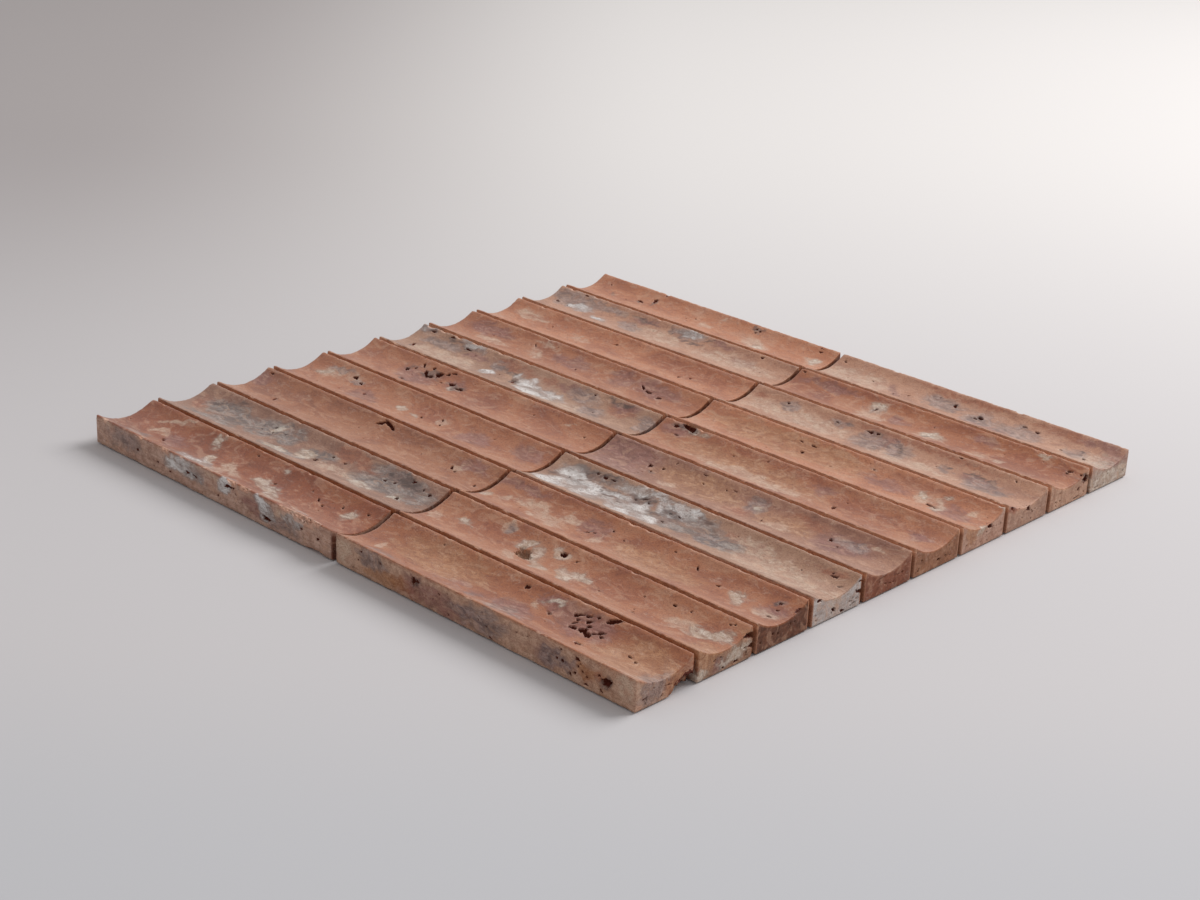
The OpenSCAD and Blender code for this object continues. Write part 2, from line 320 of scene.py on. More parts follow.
looks["right_01"] = dict(
    ground="orange",
    sawn="CFAA92",
    mauve=[(80, 11, 12, 7), (108, 20, 13, 8), (92, 23, 10, 4)],
    mauveSide=[(43, 8, 5, 3), (112, 5, 10, 4), (60, 5, 22, 5)],
    ochre=[(137, 14, 17, 14), (38, 18, 26, 9)],
    ochreSide=[(28, 4, 12, 3), (127, 6, 5, 3)],
    rust=[(89, 22.4, 5, 3)],
    # the rust on the end is partly painted shade, darkening the end against the side that shares its sawn
    # colour
    rustEnd=[(22, 5, 8, 7)],
    rustSide=[(127, 6, 5, 3, -20), (134, 7, 4, 2), (38, 4, 10, 3)],
    calcite=[(94, 24.6, 1.6, 1.3), (90, 23.6, 5, 0.9, 30)],
    cream=[(85, 19, 3, 1, -40), (12, 11, 1.6, 3)],
    creamSide=[(146, 7, 5, 6), (5, 6, 6, 5)],
    greyEnd=[(9, 5, 8, 5)],
    greySide=[(76, 6, 16, 5), (20, 8, 10, 3), (113, 5, 9, 4)],
    stainSide=[(137, 6, 3.6, 2.6), (44, 8, 3, 2)],
    pits=[
        (101.5, 23, 1.8, 0.8, 40, 1.3), (103.2, 19.6, 1.3, 0.6, 50, 1.1), (105.5, 24.2, 1.4, 0.6, 20, 1.2),
        (107.2, 22.4, 1.2, 0.9, 0, 1.2), (104.5, 17.2, 2.1, 0.8, 10, 1.3), (108.4, 18.2, 2.2, 1.2, 35, 1.7),
        (111.2, 17.2, 2.3, 1.2, -25, 1.7), (109, 20.8, 1, 0.8, 0, 1.1), (115, 20.2, 1.4, 0.8, 40, 1.2),
        (116.5, 18.8, 1, 0.6, -20, 1), (113.2, 18.8, 1, 0.6, 30, 1.1), (115.2, 26.2, 2.5, 1.2, 25, 1.7),
        (117, 27.2, 1.3, 0.8, 0, 1.1), (109.2, 25.4, 0.8, 0.6, 0, 1), (75, 24.4, 1.2, 1, 50, 1.1),
        (132, 16.4, 1, 0.6, -20, 0.8), (136, 15, 0.9, 0.6, -20, 0.7), (114, 9.8, 1.6, 1.2, 0, 0.7),
        (103, 21.4, 0.8, 0.6, 0, 1), (92, 18.4, 1.2, 0.8, -20, 0.5),
    ],
    pitsSide=[
        (12.5, 5.5, 0.6, 0.4, 0, 0.7), (14, 9.3, 0.8, 0.4, 15, 0.7), (42.4, 8.2, 1.4, 1.2, 60, 1.6),
        (44.6, 8.4, 0.9, 0.8, 0, 1.1), (115.8, 9.8, 0.7, 0.4, 0, 0.8), (114, 5.9, 0.5, 0.6, 0, 0.8),
        (116.6, 5.8, 0.8, 0.7, 0, 1.2), (123.5, 9.2, 1.3, 0.7, -15, 1.3), (120.5, 2.5, 0.6, 0.8, 0, 1),
        (122.5, 3.6, 0.8, 0.5, 40, 0.9), (124, 6.6, 0.6, 0.5, 0, 0.8), (126, 5.4, 0.6, 0.4, 30, 0.8),
        (125, 7.8, 0.5, 0.4, 0, 0.7), (128, 4.2, 0.6, 0.4, 0, 0.7), (128, 1.4, 1.2, 0.4, 0, 0.8),
        (137, 5.8, 2.1, 1.7, 10, 2.4), (133.6, 7, 0.8, 0.5, 0, 0.8), (134.5, 2.2, 0.7, 0.4, 0, 0.7),
        (76, 5.6, 0.5, 0.4, 0, 0.6), (82, 0.8, 0.9, 0.5, 0, 0.7), (60, 9.4, 0.5, 0.4, 0, 0.5),
    ],
    pitsEnd=[(4.5, 3.4, 1, 0.4, 0, 0.6), (13, 1.8, 0.8, 0.4, 30, 0.5), (9, 6, 0.6, 0.3, 0, 0.4)],
    chipsNear=[(70, 3, 0.4), (105, 4, 0.4)],
    chipsFar=[(30, 4, 0.3), (100, 4, 0.4)],
)
looks["right_02"] = dict(
    ground="terracotta",
    sawn="A8846C",
    calcite=[
        (17, 18.6, 5, 1.8, -8), (49, 21, 5, 2.6, 20), (56, 17.5, 3.6, 5, 30), (61, 12.5, 5, 2.4, -20),
        (64, 23.2, 4, 2.4, 10), (80, 17.2, 5.6, 3, -10), (74, 13, 7, 3, -45), (138, 17.4, 9, 3.4, 18),
        (144, 20, 4, 2.4, 20),
    ],
    calciteEnd=[(2, 2, 4, 3), (19, 4, 10, 2.6, 12)],
    cream=[(4.5, 14.5, 4.5, 2.2, -30), (35.5, 24, 4, 2.8, 35), (128, 15.4, 7, 3.4, 10), (48, 11, 6, 3, -50)],
    grey=[(36, 23.5, 3.4, 1.6, 30)],
    greyEnd=[(12, 2, 4, 2)],
    mauveEnd=[(12, 3, 5, 2, 8)],
    rust=[(30, 20, 9, 4), (100, 20, 16, 5)],
    ochre=[(146, 7, 6, 8)],
    ochreEnd=[(7, 9.5, 12, 2), (24, 11, 5, 1)],
    pits=[
        (51.6, 15.2, 4.1, 2.8, -12, 2.6, 0.15), (64.4, 23.2, 1.9, 1.1, -10, 2),
        (71.3, 22.8, 0.6, 0.5, 0, 0.8), (118.6, 23.2, 0.9, 0.5, -10, 1), (142.4, 25.2, 0.6, 0.4, 0, 0.6),
        (144, 25.8, 0.5, 0.4, 0, 0.6), (110, 10.6, 1.2, 0.9, 0, 0.4), (106, 21.4, 0.5, 0.4, 0, 0.5),
        (126, 23.6, 0.6, 0.5, 0, 0.6),
    ],
    pitsEnd=[
        (27, 8.6, 3, 1.3, -10, 2.6), (27.8, 4.6, 1.2, 1, 0, 1.4), (20, 1.2, 1.4, 0.5, 0, 0.8),
        (12, 5.6, 0.5, 0.4, 0, 0.5),
    ],
    chipsNear=[(43, 4, 0.5), (82, 3, 0.4)],
    chipsFar=[(20, 5, 0.5), (95, 4, 0.4)],
)
looks["right_03"] = dict(
    ground="terracotta",
    sawn="643A24",
    calcite=[(2.5, 13, 3, 3.6, -40), (127, 16.4, 4.2, 5, 20)],
    cream=[
        (142, 14, 6, 3), (35, 13, 9, 4, -20), (43, 18.5, 4.6, 3), (25, 18.5, 9, 3), (11, 16, 2.4, 1.6),
        (59.5, 12.5, 2, 4), (27, 11, 3.4, 1.8),
    ],
    mauve=[(55, 20, 9, 5), (142, 16, 6, 4), (142, 22.6, 3, 1.8), (12, 24, 14, 3)],
    stain=[(141.6, 22.6, 2, 1), (54, 16.4, 2, 0.6, 30)],
    ochre=[(90, 14, 24, 8)],
    pits=[
        (53.5, 16.2, 1, 0.3, 30, 0.7), (56, 17.6, 0.8, 0.4, 20, 0.7), (61.4, 22.2, 0.7, 0.4, -20, 0.7),
        (103.5, 22, 1.1, 0.4, -45, 1), (116.6, 18.4, 1.1, 0.4, 10, 0.9), (90.3, 24.6, 0.7, 0.3, 0, 0.6),
        (143.4, 19, 0.6, 0.5, 0, 0.7), (143.6, 14, 1.2, 0.5, 0, 0.7), (142, 22.5, 0.9, 0.5, 0, 0.9),
    ],
    pitsEnd=[(22.5, 9.4, 1.9, 0.7, 10, 0.9)],
    chipsNear=[(26, 4, 0.5), (60, 3, 0.3)],
    chipsFar=[(66, 5, 0.6), (74, 4, 0.5), (120, 5, 0.4)],
)
looks["right_04"] = dict(
    ground="sand",
    sawn="C6BEBA",
    marble=[
        (13, 20, 9, 6), (27, 13.5, 15, 7), (41, 24, 7, 3), (54, 26, 9, 2.4), (67, 23, 12, 4.6),
        (10, 10, 9, 5), (50, 12, 18, 5), (44, 17, 10, 5),
    ],
    slate=[
        (23, 24, 13, 3), (36, 18.6, 8, 2.4), (62, 17.6, 13, 3), (80, 22.4, 9, 5), (92, 16, 12, 5),
        (48, 22.6, 6, 2), (74, 15, 12, 4), (20, 16.6, 9, 1.2, 8),
    ],
    stain=[
        (24, 24.4, 9, 1.6), (20, 19.6, 5, 0.8, 50), (30.6, 19.6, 1.6, 1), (4, 16.6, 3, 1.2, -20),
        (48, 21.6, 6, 2), (66, 20.4, 6, 1.6, -10), (36, 16, 7, 0.8, -10), (58, 19, 7, 0.9, 12),
        (65, 14.4, 2, 1.4), (79, 24.5, 4, 0.9, 10),
    ],
    cream=[(124, 13, 28, 8), (104, 20, 14, 5)],
    mauve=[(66, 20, 8, 4), (48, 20, 6, 3), (88, 15, 8, 4)],
    rust=[(96, 21, 7, 4), (140, 24.5, 9, 2)],
    pits=[
        (26, 24.6, 1.2, 0.8, 0, 0.9), (30.2, 24.8, 1.3, 0.4, 0, 0.7), (21.6, 25, 0.9, 0.5, 0, 0.7),
        (46, 20.6, 0.8, 0.4, 0, 0.6), (49.5, 22.6, 1, 0.4, 20, 0.6), (52, 21.4, 0.7, 0.4, -30, 0.6),
        (64, 20.8, 0.8, 0.4, 0, 0.6), (68.4, 21, 1, 0.4, -20, 0.6), (65.4, 14.6, 0.9, 0.5, -20, 0.7),
        (141.6, 23.4, 1.6, 0.6, 10, 1.1), (140, 24.4, 0.6, 0.4, 0, 0.7), (146.4, 20, 1.2, 0.4, 20, 0.6),
        (12.5, 17.8, 0.6, 0.4, 0, 0.5), (24, 12.4, 0.8, 0.5, 0, 0.4),
    ],
    pitsEnd=[
        (4, 9.2, 1.8, 0.6, -8, 1.2), (12.8, 3, 1.1, 0.9, 0, 1.6), (18, 0.8, 1.2, 0.6, 0, 1),
        (27.6, 5.6, 1.6, 1, 0, 1.8), (27.4, 9.6, 1, 0.6, 0, 0.9), (22.4, 3.2, 0.9, 0.3, 0, 0.6),
        (24.6, 2, 1, 0.3, 0, 0.6), (26, 3.4, 0.7, 0.3, 0, 0.5), (23, 1.4, 0.6, 0.3, 0, 0.5),
    ],
    chipsNear=[(60, 4, 0.4)],
    chipsFar=[(8, 4, 0.5), (46, 5, 0.5), (80, 4, 0.4)],
)
looks["right_05"] = dict(
    ground="mauve",
    sawn="8A4E34",
    mauve=[(13, 22, 17, 9), (15, 12, 14, 8), (14, 24, 12, 6), (125, 18, 13, 7)],
    grey=[(81, 20.4, 5, 5, -40), (128, 20, 8, 3)],
    calcite=[(81.6, 20.4, 2, 2.2, -40)],
    cream=[(138, 23, 3.4, 1), (97, 14, 6, 3), (42, 12, 5, 3)],
    rust=[(78, 14, 6, 4), (104, 22, 12, 4)],
    ochre=[(52, 19, 22, 8), (98, 17, 14, 6)],
    stain=[(119, 19.3, 1.4, 1.2), (30, 16, 2.6, 0.7, -60)],
    pits=[
        (26.3, 20, 1.2, 0.9, 0, 1.5), (32.5, 21, 0.7, 0.6, 0, 1), (29.4, 17, 0.8, 0.5, -50, 0.6),
        (51, 25.6, 1.3, 0.3, 0, 0.5), (64.4, 22.8, 0.7, 0.3, -20, 0.5), (68, 24, 1.1, 0.3, 0, 0.5),
        (89.3, 14.2, 0.5, 1, 20, 0.6), (119, 19.3, 0.9, 0.8, 0, 0.7), (124, 17, 0.6, 0.4, 0, 0.5),
    ],
    pitsEnd=[(10, 6.5, 3, 0.25, 6, 0.3), (20, 5, 3, 0.25, -4, 0.3)],
    chipsFar=[(108, 6, 0.4)],
)
looks["right_06"] = dict(
    ground="terracotta",
    sawn="9C6C4E",
    mauve=[(10, 24, 9, 4), (88, 22, 7, 3), (140, 17, 5, 3)],
    calcite=[(19, 26, 6, 2)],
    cream=[(60, 12, 30, 5)],
    rust=[(60, 26, 50, 2), (108, 22, 10, 4)],
    ochre=[(50, 17, 40, 8)],
    stain=[(13, 26, 6, 2)],
    pits=[
        (14.4, 27, 3.4, 1.7, -10, 2.4), (8, 25.6, 1.6, 0.8, 0, 0.9), (11.6, 21.6, 1.2, 0.6, 0, 0.5),
        (100.2, 14.6, 1.1, 1.3, 20, 0.7), (58, 25.4, 0.6, 0.4, 0, 0.5), (42.6, 22, 0.6, 0.4, 0, 0.4),
    ],
    pitsEnd=[(16, 3, 0.9, 0.6, 0, 0.7), (20, 3.4, 0.6, 0.4, 0, 0.5), (22, 7, 0.5, 0.4, 0, 0.4)],
    chipsFar=[(6, 5, 0.5), (21, 4, 0.5)],
)
looks["right_07"] = dict(
    ground="apricot",
    sawn="CAA592",
    rust=[(110, 24, 16, 3)],
    ochre=[(50, 20, 45, 8)],
    ochreEnd=[(6, 7, 6, 5)],
    calcite=[(117, 20.4, 4, 1.9, -20), (128, 23, 3.4, 1.5, 10), (127, 14.6, 3.4, 2.6), (149, 27.6, 2, 1)],
    calciteEnd=[(13, 6.5, 2.6, 2)],
    cream=[(90, 23.4, 2, 1.6), (141, 20, 2, 1.8), (122, 18, 9, 4)],
    mauve=[(134, 16, 10, 5), (100, 18, 12, 4)],
    stainEnd=[(18.6, 6.8, 2, 1.2)],
    pits=[
        (58.6, 24, 1.7, 0.4, -10, 0.9), (52, 24.2, 0.9, 0.4, 0, 0.7), (57, 18.6, 0.9, 0.8, 0, 0.9),
        (123.8, 15.2, 2.3, 0.7, -12, 1.3), (90, 23.6, 0.7, 0.4, 0, 0.5), (73.6, 16, 0.8, 0.6, 0, 0.4),
    ],
    pitsEnd=[(18.6, 6.8, 1.6, 0.9, -10, 1.3), (16.6, 5, 0.5, 0.4, 0, 0.6)],
    chipsFar=[(148, 3, 0.6), (60, 3, 0.3)],
)
looks["right_08"] = dict(
    ground="rose",
    sawn="C09C88",
    grey=[
        (49.5, 24, 5, 2.6), (68, 19, 8, 7), (82, 19, 7, 6), (107, 19, 4, 3), (128, 16, 11, 5), (22, 23, 5, 3),
    ],
    stain=[
        (66.6, 24.4, 4, 1.2), (122, 21.2, 9, 0.7, 2), (108, 20.4, 3, 0.8, 20), (84, 20, 2, 2.4),
        (48, 23.4, 1.6, 0.8),
    ],
    stainEnd=[(3.6, 9.6, 2, 1, -10)],
    cream=[(30, 17, 30, 6), (92, 14, 24, 5)],
    rust=[(6, 23, 4, 2.4), (90, 26, 40, 1.6)],
    rustEnd=[(4, 9, 5, 2)],
    mauve=[(74, 22, 10, 4), (124, 18, 12, 4)],
    pits=[
        (20.5, 24, 0.9, 0.6, 0, 0.9), (64.6, 24.3, 1.7, 0.6, 0, 1.1), (68.4, 24.6, 1.1, 0.6, 20, 1),
        (47.8, 23.4, 0.8, 0.4, 0, 0.6), (108.8, 27, 1, 0.4, 0, 0.6), (136.6, 25.6, 0.7, 0.4, -40, 0.6),
    ],
    pitsEnd=[
        (3.6, 9.8, 1.7, 0.8, -10, 1.1), (14.8, 6.6, 1.2, 0.9, 10, 1.3), (8, 8.2, 0.9, 0.3, 0, 0.5),
        (11, 3.6, 0.4, 0.3, 0, 0.4), (20, 5, 0.5, 0.3, 0, 0.4),
    ],
    chipsNear=[(146, 4, 0.4)],
)
looks["right_09"] = dict(
    ground="orange",
    sawn="C8A28A",
    cream=[
        (47.5, 21, 5.5, 6), (49, 12, 8, 5), (81, 15.4, 7, 4.6), (110.5, 23, 3, 1.6), (116, 14, 2, 3),
        (106, 12, 6, 3),
    ],
    calcite=[(47.5, 22, 5, 3.4), (81, 16.2, 6, 3), (130.5, 26.2, 3, 1.2, -10)],
    grey=[(47.5, 20.2, 2, 2.4), (80.6, 14.6, 2.4, 1.4)],
    stain=[(47.6, 20, 1.1, 1.7), (80.6, 14.6, 1.6, 0.7)],
    stainEnd=[(26, 7.4, 3, 2)],
    mauve=[(103, 24, 6, 3), (20, 24, 18, 3), (62, 17, 6, 4)],
    rust=[(48, 26.4, 16, 1.6), (126, 21, 10, 4)],
    pits=[
        (144, 23.4, 1.1, 0.7, 20, 1.1), (143.4, 22, 0.7, 0.5, 0, 0.9), (2.5, 26.8, 0.9, 0.5, 0, 0.7),
        (47.6, 20.2, 0.7, 1.1, 0, 0.6), (149, 23.6, 0.7, 0.5, 0, 0.7),
    ],
    pitsEnd=[
        (26, 7.8, 2.1, 1.5, -20, 2), (21.6, 4.5, 1.1, 0.7, 0, 0.7), (20, 1, 2.6, 0.4, 5, 0.6),
        (8, 3, 0.6, 0.4, 0, 0.5),
    ],
    chipsFar=[(130, 5, 0.6), (60, 4, 0.3)],
)
looks["right_10"] = dict(
    ground="rose",
    sawn="C4A698",
    cream=[(16, 15, 20, 8), (140, 12, 14, 6)],
    grey=[(62, 19, 12, 5), (84, 17, 10, 6), (104, 16, 12, 6), (132, 15, 5, 5)],
    rust=[(28, 17.4, 3.4, 4), (70, 26, 26, 2), (120, 25.4, 14, 2.4)],
    mauve=[(38, 16, 7, 2.4, -50), (140, 25, 12, 2.4), (90, 12, 14, 4)],
    mauveEnd=[(14, 9, 14, 2.5)],
    stain=[
        (83, 17.8, 3.4, 1.8, -40), (68, 20.4, 1.4, 1.2), (80, 16.4, 2, 1, -20), (133.6, 17.6, 0.8, 2.4, 30),
    ],
    calciteEnd=[(14, 3, 20, 5)],
    pits=[
        (68, 20.4, 1.2, 0.8, -20, 1), (83.2, 18, 1.6, 1.1, -30, 1.5), (81.2, 16.4, 1.4, 0.6, -20, 0.9),
        (103, 22, 1.1, 0.5, 10, 0.8), (110, 21.2, 1.1, 0.7, 0, 0.9), (126, 14.6, 0.9, 0.6, 0, 0.7),
        (138, 13.2, 1.2, 0.7, -40, 0.9), (4, 24.4, 0.9, 0.5, 0, 0.7), (45.6, 16.4, 0.7, 0.5, 0, 0.5),
        (39.4, 13.4, 0.8, 0.5, -50, 0.5),
    ],
    pitsEnd=[(11, 8.6, 2.2, 0.25, 0, 0.4), (6, 1.2, 3, 0.3, 0, 0.4)],
    chipsFar=[(30, 4, 0.4), (96, 4, 0.5)],
)

# Small pits that no strip is without, as (how many, distance kept from the face's ends, range across
# the face, range of half widths)
smallPits = {
    "top": (4, 3, (5, 26), (0.22, 0.36)),
    "side": (11, 4, (1, 11), (0.25, 0.5)),
    "farSide": (22, 4, (1.5, 10.5), (0.3, 1.1)),
    "farEnd": (5, 2, (1, 6.5), (0.3, 1.0)),
    "end": (5, 2, (1, 6.5), (0.25, 0.45)),
    "under": (10, 5, (3, 25.5), (0.5, 1.6)),
}
# Chips sit on an edge and go in along their own slant. Each ridge gets some small ones
chipping = {
    "ridgeChips": 14,
    "lengths": (1, 4),
    "depths": (0.12, 0.3),
    "fromEdge": 0.5,
    "halfWidth": 0.4,
    "widening": 1.5,
    "slant": (0.4, 0.917),
}
# How the edges have worn, each as (reach, strength), and the uneven skin of the whole strip
weathering = {
    "edges": {"ridge": (0.9, 1), "lip": (0.5, 0.6), "rim": (0.6, 0.9), "foot": (0.6, 1)},
    "edgeWear": 0.32,
    "mostWear": 0.6,
    "skinDepth": 0.05,
    "skinFrom": 0.4,
}
# How ragged a pit or chip is: waves round it as (number, size), and what the grit adds to them
raggedness = {"waves": ((2, 0.1), (3, 0.12), (5, 0.08)), "rim": 0.35, "pit": 0.5, "chip": 0.9}
# The shell-shaped break under the corner of one strip
cornerBreak = {"strip": "right_01", "centre": (157.3, 26, -3.2), "radius": 11.8, "roughness": 0.7}


def faceFrame(face, u, v):
    # place, lengthwise and crosswise directions, and the way into the stone
    if face == "top":
        offset = min(max(v - stripWidth / 2, -fluteHalf), fluteHalf)
        lean = math.asin(offset / fluteRadius) if abs(v - stripWidth / 2) < fluteHalf else 0
        place = (u, v, float(fluteHeight(v)))
        return place, (1, 0, 0), (0, math.cos(lean), math.sin(lean)), (0, math.sin(lean), -math.cos(lean))
    return {
        "side": ((u, 0, v), (1, 0, 0), (0, 0, 1), (0, 1, 0)),
        "farSide": ((u, stripWidth, v), (1, 0, 0), (0, 0, 1), (0, -1, 0)),
        "end": ((stripLength, u, v), (0, 1, 0), (0, 0, 1), (-1, 0, 0)),
        "farEnd": ((0, u, v), (0, 1, 0), (0, 0, 1), (1, 0, 0)),
        "under": ((u, v, 0), (1, 0, 0), (0, 1, 0), (0, 0, 1)),
    }[face]


def makeMark(face, u, v, halfLength, halfWidth, tilt=0, depth=1.0, shade=1.0, kind="pit"):
    place, along, across, inward = (np.array(part, float) for part in faceFrame(face, u, v))
    turn = math.radians(tilt)
    return {
        "place": place,
        "along": along * math.cos(turn) + across * math.sin(turn),
        "across": across * math.cos(turn) - along * math.sin(turn),
        "inward": inward,
        "half": (halfLength, halfWidth),
        "depth": depth,
        "shade": shade,
        "kind": kind,
    }


def spotsOf(look, kind):
    # "pits" lie on the top, "pitsSide" on the side, "chipsFar" on the far edge
    return [
        (label[len(kind):].lower() or "top", spot)
        for label, spots in look.items() if label.startswith(kind) for spot in spots
    ]


def marksOf(look, kind):
    return [makeMark(face, *spot) for face, spot in spotsOf(look, kind)]


def edgeChip(edge, along, length, depth):
    # a flake off one of the two ridges or off the foot of the near side
    fromEdge, (sideways, upright) = chipping["fromEdge"], chipping["slant"]
    across = stripWidth - fromEdge if edge == "far" else fromEdge
    halfWidth = chipping["halfWidth"] + depth * chipping["widening"]
    face = "under" if edge == "foot" else "top"
    mark = makeMark(face, along, across, length / 2, halfWidth, 0, depth, kind="chip")
    inward = (0, -sideways if edge == "far" else sideways, upright if edge == "foot" else -upright)
    mark["inward"] = np.array(inward)
    mark["across"] = np.array((0, -inward[2], inward[1]))
    return mark


def scatterMarks(look, row, column):
    chance = random.Random(row * 100 + column)
    marks = marksOf(look, "pits") + [edgeChip(edge, *spot) for edge, spot in spotsOf(look, "chips")]

    def scatterPits(face):
        count, margin, widthRoom, sizes = smallPits[face]
        faceLength = stripWidth if face in ("end", "farEnd") else stripLength
        for _ in range(count):
            size = chance.uniform(*sizes)
            marks.append(makeMark(
                face, chance.uniform(margin, faceLength - margin), chance.uniform(*widthRoom),
                size * chance.uniform(1, 2), size, chance.uniform(-50, 50), size * chance.uniform(1.2, 2),
            ))

    scatterPits("top")
    for ridge in ("near", "far"):
        for _ in range(chipping["ridgeChips"]):
            marks.append(edgeChip(
                ridge, chance.uniform(2, stripLength - 2), chance.uniform(*chipping["lengths"]),
                chance.uniform(*chipping["depths"]),
            ))
    if column == 1:
        scatterPits("side")
    if column == 10:
        scatterPits("farSide")
    scatterPits("end" if row else "farEnd")
    scatterPits("under")
    return marks


def cutFiner(bm, marks, margin):
    # one more cut through every edge that lies on or beside a mark
    bm.edges.ensure_lookup_table()
    middles = kdtree.KDTree(len(bm.edges))
    for i, edge in enumerate(bm.edges):
        middles.insert((edge.verts[0].co + edge.verts[1].co) / 2, i)
    middles.balance()
    chosen = set()
    for mark in marks:
        halfLength, halfWidth = (half + margin for half in mark["half"])
        for spot, i, _ in middles.find_range(Vector(mark["place"]), max(halfLength, halfWidth) + 0.2):
            offset = np.array(spot) - mark["place"]
            reach = math.hypot(offset @ mark["along"] / halfLength, offset @ mark["across"] / halfWidth)
            if reach < 1 and abs(offset @ mark["inward"]) < mark["depth"] + 0.6:
                chosen.add(i)
    edges = [bm.edges[i] for i in sorted(chosen)]
    bmesh.ops.subdivide_edges(bm, edges=edges, cuts=1, use_grid_fill=True)


def noiseAt(points, scale, shift):
    offset = Vector((shift, shift * 0.7, -shift))
    return np.array([noise.noise(Vector(p) * scale + offset) for p in points])


def carve(points, hollow, fresh, mark, grit, chance):
    offset = points - mark["place"]
    u = offset @ mark["along"] / mark["half"][0]
    v = offset @ mark["across"] / mark["half"][1]
    into = offset @ mark["inward"]
    beside = (np.abs(u) < 1.5) & (np.abs(v) < 1.5)
    near = np.where(beside & (into > -1.2) & (into < mark["depth"] + 0.1))[0]
    if not len(near):
        return
    u, v, into = u[near], v[near], into[near]
    angle = np.arctan2(v, u)
    wobble = sum(
        size * np.sin(number * angle + chance.uniform(0, 6.28)) for number, size in raggedness["waves"]
    )
    reach = np.clip(np.hypot(u, v) * (1 + wobble + raggedness["rim"] * grit[near]), 0, 1)
    form = np.sqrt(1 - reach ** 4) if mark["kind"] == "pit" else 1 - reach ** 2
    bowl = mark["depth"] * form * (1 + raggedness[mark["kind"]] * grit[near])
    sink = np.clip(bowl - np.maximum(into, 0), 0, None)
    points[near] += sink[:, None] * mark["inward"]
    # deeper hollows get more of the pits' own dark colour and of painted shade, and chips more fresh stone
    deep = np.clip(bowl / 0.7, 0, 1) * mark["shade"]
    if mark["kind"] == "pit":
        hollow[near] = np.maximum(hollow[near], deep)
    else:
        fresh[near] = np.maximum(fresh[near], np.clip(deep * 1.5 - 0.25, 0, 1))


def wearEdges(points, normals, shift):
    # the long arrises and the ends lose a little stone here and there
    across, height = points[:, 1], points[:, 2]
    coarse = np.clip(noiseAt(points, 0.22, shift) + 0.15, 0, 1)
    fine = np.clip(noiseAt(points, 1.1, shift + 9) + 0.2, 0, 1)
    fromSide = np.minimum(across, stripWidth - across)
    fromEnd = np.minimum(points[:, 0], stripLength - points[:, 0])
    distances = {
        "ridge": np.hypot(fromSide, stripThickness - height),
        "lip": np.hypot(fromSide - blank["ridgeLand"], stripThickness - height),
        "rim": np.hypot(fromEnd, fluteHeight(across) - height),
        "foot": np.hypot(fromSide, height),
    }
    worn = sum(
        strength * np.exp(-(distances[edge] / reach) ** 2)
        for edge, (reach, strength) in weathering["edges"].items()
    )
    wear = weathering["edgeWear"] * worn * (0.7 * coarse + 0.6 * fine)
    skin = weathering["skinDepth"] * np.clip(noiseAt(points, 0.13, shift + 5) + 0.5, 0, 1)
    raised = (height > weathering["skinFrom"]).astype(float)
    points -= normals * np.clip(wear + skin * raised, 0, weathering["mostWear"])[:, None]


def breakCorner(points, hollow, grit):
    # everything inside the ball rises to its upper side
    centre = np.array(cornerBreak["centre"], float)
    offset = points - centre
    across = np.hypot(offset[:, 0], offset[:, 1])
    radius = cornerBreak["radius"] + cornerBreak["roughness"] * grit * 2
    roof = centre[2] + np.sqrt(np.clip(radius ** 2 - across ** 2, 0, None))
    inside = (across < radius) & (points[:, 2] < roof)
    points[inside, 2] = roof[inside]
    # the broken face is darkened more the higher it lies, painted shade under the corner
    hollow[inside] = np.maximum(hollow[inside], np.clip(roof[inside] / 4, 0, 0.75))


def blobMask(points, warped, marks):
    # a soft ellipsoid round each mark, so that a patch shows on every face that cuts it
    mask = np.zeros(len(points))
    for mark in marks:
        offset = warped - mark["place"]
        halfLength, halfWidth = mark["half"]
        depth = 2 + 0.7 * max(halfLength, halfWidth)
        reach = np.sqrt(
            (offset @ mark["along"] / halfLength) ** 2
            + (offset @ mark["across"] / halfWidth) ** 2
            + (offset @ mark["inward"] / depth) ** 2
        )
        mask = np.maximum(mask, np.clip((1.35 - reach) / 0.8, 0, 1))
    return mask * mask * (3 - 2 * mask)


def swayAt(points, scale, offset):
    return np.array([noise.noise_vector(Vector(p) * scale + Vector(offset)) for p in points])


# Painted bounce light, redder and paler, and painted shade in the joints: how near to a face they lie,
# and how the painted shade darkens below a height and below the flute
jointBounceAndShade = {
    "within": 0.6,
    "fade": 0.3,
    "shadeFrom": 10.3,
    "shadeFade": 2.4,
    "gapShadeFade": 2.8,
    "gapShadeRange": (0.3, 0.95),
}


def onFace(distance):
    return np.clip((jointBounceAndShade["within"] - distance) / jointBounceAndShade["fade"], 0, 1)


